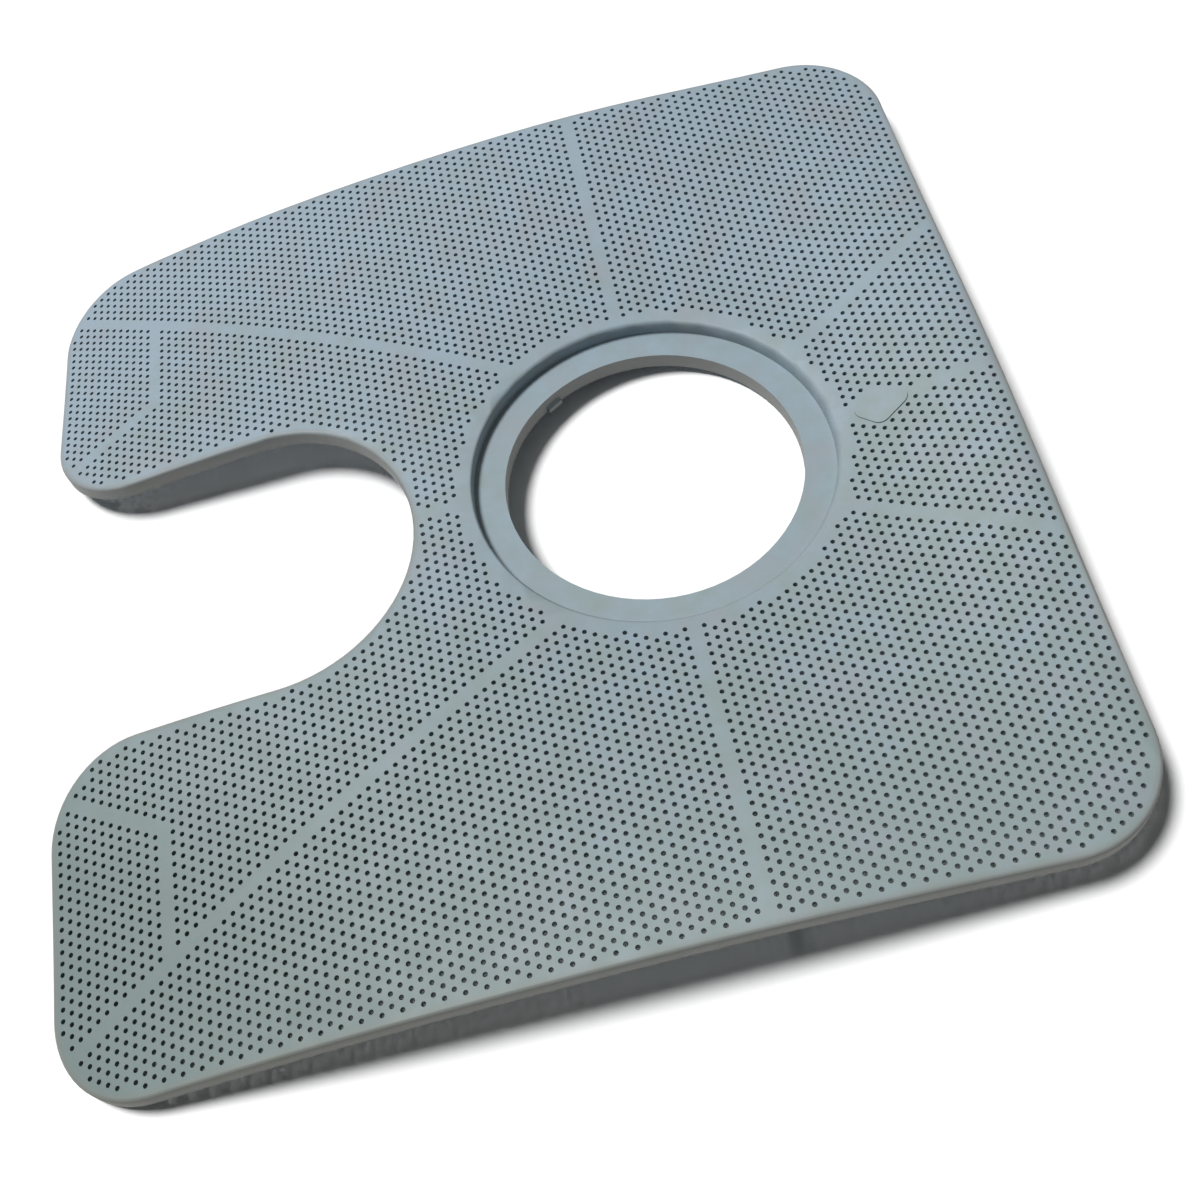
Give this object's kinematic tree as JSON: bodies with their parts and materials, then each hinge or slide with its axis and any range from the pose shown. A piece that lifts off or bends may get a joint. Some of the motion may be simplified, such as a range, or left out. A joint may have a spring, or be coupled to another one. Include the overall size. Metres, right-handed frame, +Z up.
{
  "type": "dishwasher filter plate",
  "caption": "Flat perforated plastic filter plate, gently dished, with a round recessed seat for a filter cup and an open notch at one side.",
  "frame": {"origin": "on the seat's axis, on the ledge that carries the filter cup's flange", "axes": "+Z up along the seat's axis; +X from the open notch to the rear edge"},
  "size_m": [0.2815, 0.284, 0.0395],
  "materials": {
    "plate_plastic": "fine satin moulding, pale blue-grey"
  },
  "bodies": {
    "root": {"filter_plate": "plate_plastic"}
  },
  "joints": []
}
